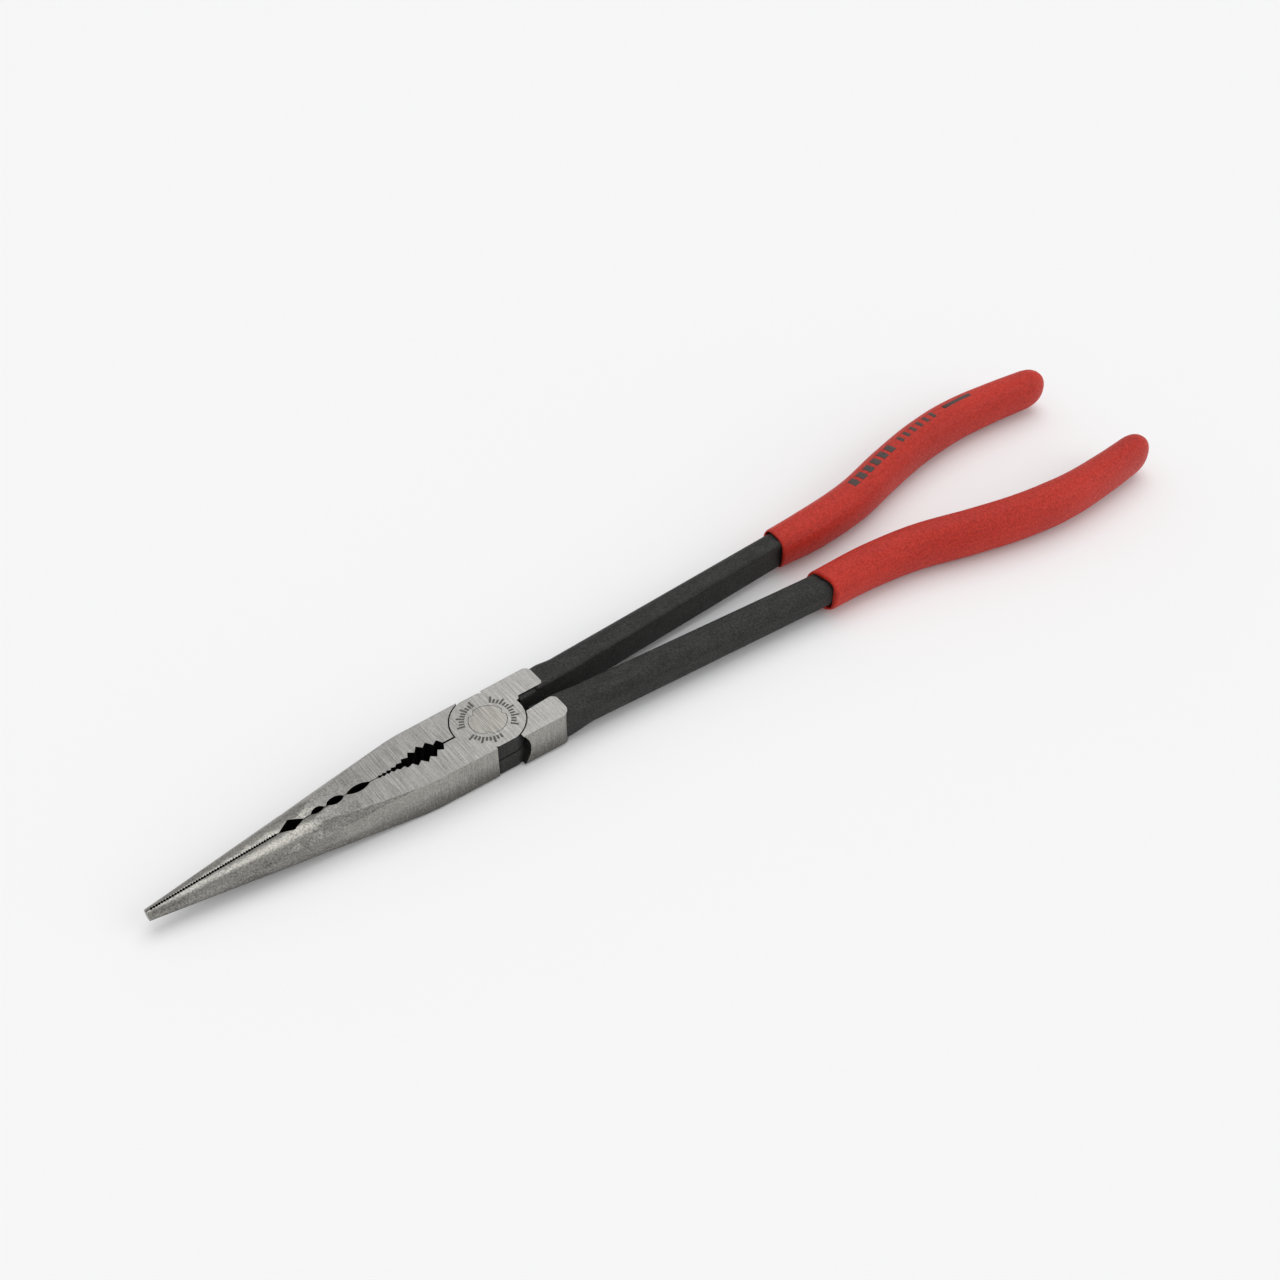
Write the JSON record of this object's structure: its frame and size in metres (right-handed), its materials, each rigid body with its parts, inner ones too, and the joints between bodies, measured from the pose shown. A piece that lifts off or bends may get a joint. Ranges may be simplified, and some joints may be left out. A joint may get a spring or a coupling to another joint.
{
  "type": "long-reach needle-nose pliers",
  "caption": "Long, slim needle-nose pliers with toothed and hollowed round-nose jaws, a flush lap joint on a rivet, and dipped plastic grips on bowed handles.",
  "frame": {"origin": "on the pivot axis at the underside of the joint", "axes": "+X along the jaw line towards the tip, +Z along the pivot axis, up when the tool lies flat, +Y towards the jaw of the top half"},
  "size_m": [0.28, 0.0506, 0.0124],
  "materials": {
    "forged_steel": "ground bright on the jaws, joint and pads, black oxide on the handle bars and inner edges",
    "rivet_steel": "ground flush with the joint, fine straight grinding lines",
    "grip_plastic": "satin dipped soft plastic with a fine grain"
  },
  "bodies": {
    "lower_half": {"half_bottom": "forged_steel", "grip_bottom_half": "grip_plastic"},
    "upper_half": {"half_top": "forged_steel", "grip_top_half": "grip_plastic", "pivot_rivet": "rivet_steel"}
  },
  "joints": [
    {"name": "jaw_pivot", "type": "hinge", "parent": "lower_half", "child": "upper_half", "pos_m": [0, 0, 0.0045], "axis": [0, 0, 1], "range_deg": [0, 40]}
  ]
}
